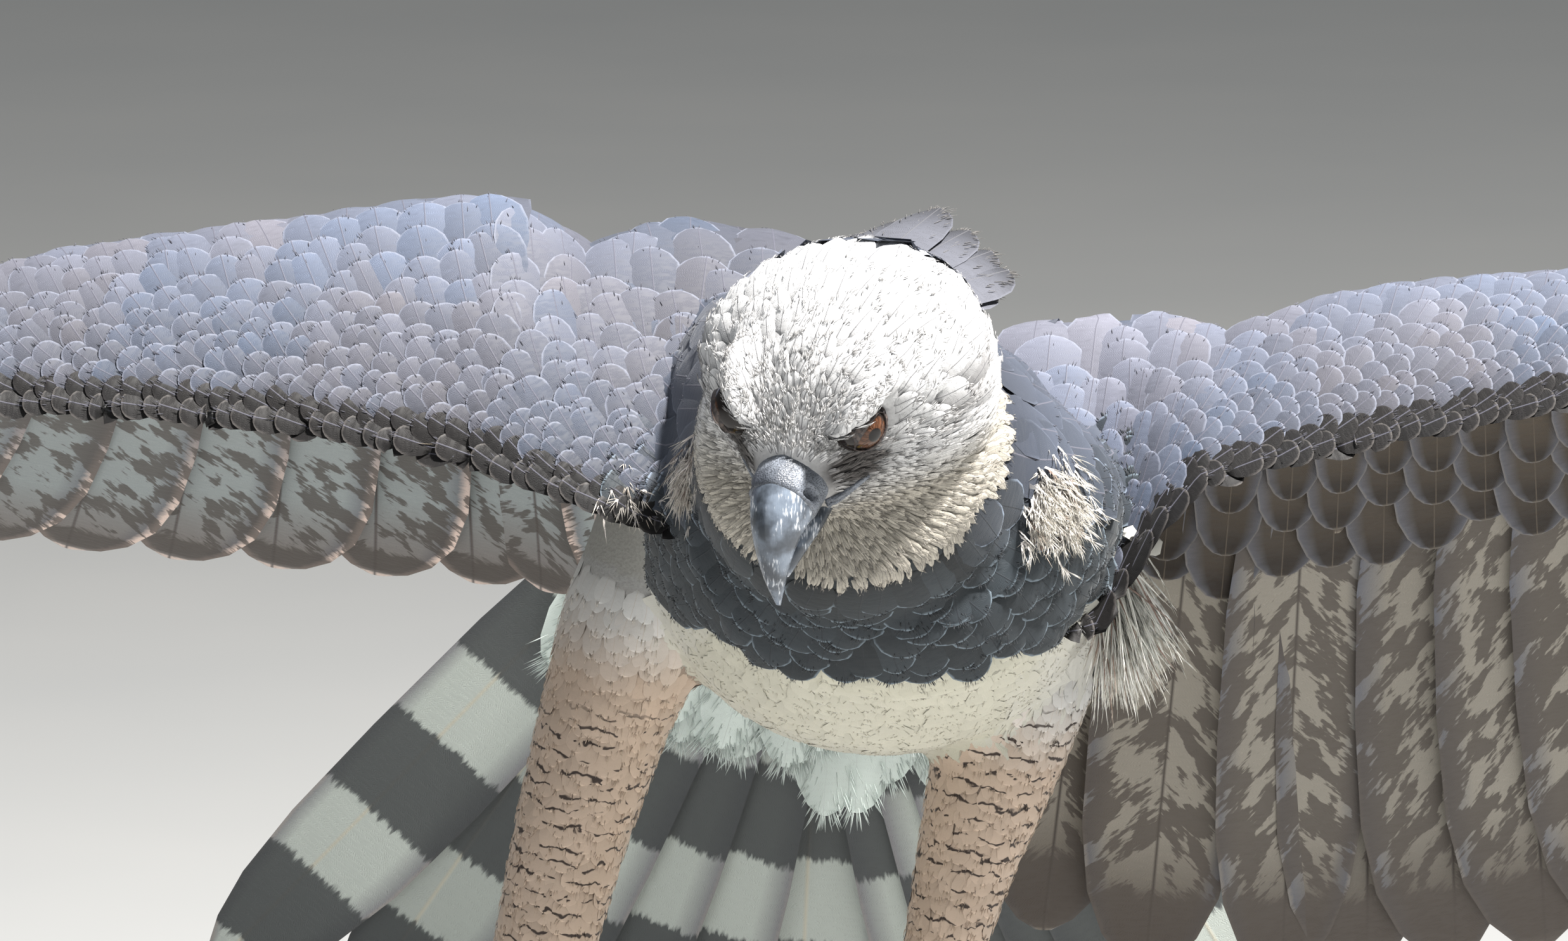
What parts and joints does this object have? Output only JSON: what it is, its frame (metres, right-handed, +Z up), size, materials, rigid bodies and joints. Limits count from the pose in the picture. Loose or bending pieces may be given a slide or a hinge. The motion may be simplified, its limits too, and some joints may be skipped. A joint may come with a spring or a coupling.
{
  "type": "harpy eagle",
  "caption": "Life-size harpy eagle about to land, wings spread, head lowered, tail fanned and talons open, held up by a plain display stand.",
  "frame": {"origin": "centre of the stand base's underside", "axes": "+Z up, the bird faces -Y, its left is +X, millimetres in the source"},
  "size_m": [1.8379, 0.6678, 0.7191],
  "materials": {
    "body_feather": "cream and white body feathers",
    "collar_feather": "slate black collar feathers",
    "head_feather": "pale grey head feathers",
    "thigh_feather": "cream feathers with fine dark bars",
    "wing_feather": "slate grey wing feathers",
    "tail_feather": "grey feathers with dark bands",
    "leg_skin": "yellow scaled skin",
    "cere_skin": "slate grey waxy skin",
    "bill_horn": "polished dark horn",
    "claw_horn": "polished black horn",
    "eye": "wet brown eye",
    "stand_steel": "brushed"
  },
  "bodies": {
    "root": {"torso": "body_feather", "neck": "collar_feather", "head": "head_feather", "thigh_right": "thigh_feather", "thigh_left": "thigh_feather", "tail": "tail_feather", "upper_arm_right": "wing_feather", "forearm_right": "wing_feather", "hand_right": "wing_feather", "eye_right": "eye", "tarsus_right": "leg_skin", "foot_right": "leg_skin", "claw_inner_right": "claw_horn", "claw_middle_right": "claw_horn", "claw_outer_right": "claw_horn", "claw_hind_right": "claw_horn", "upper_arm_left": "wing_feather", "forearm_left": "wing_feather", "hand_left": "wing_feather", "eye_left": "eye", "tarsus_left": "leg_skin", "foot_left": "leg_skin", "claw_inner_left": "claw_horn", "claw_middle_left": "claw_horn", "claw_outer_left": "claw_horn", "claw_hind_left": "claw_horn", "cere": "cere_skin", "bill_upper": "bill_horn", "bill_lower": "bill_horn", "stand_whole": "stand_steel"}
  },
  "joints": []
}
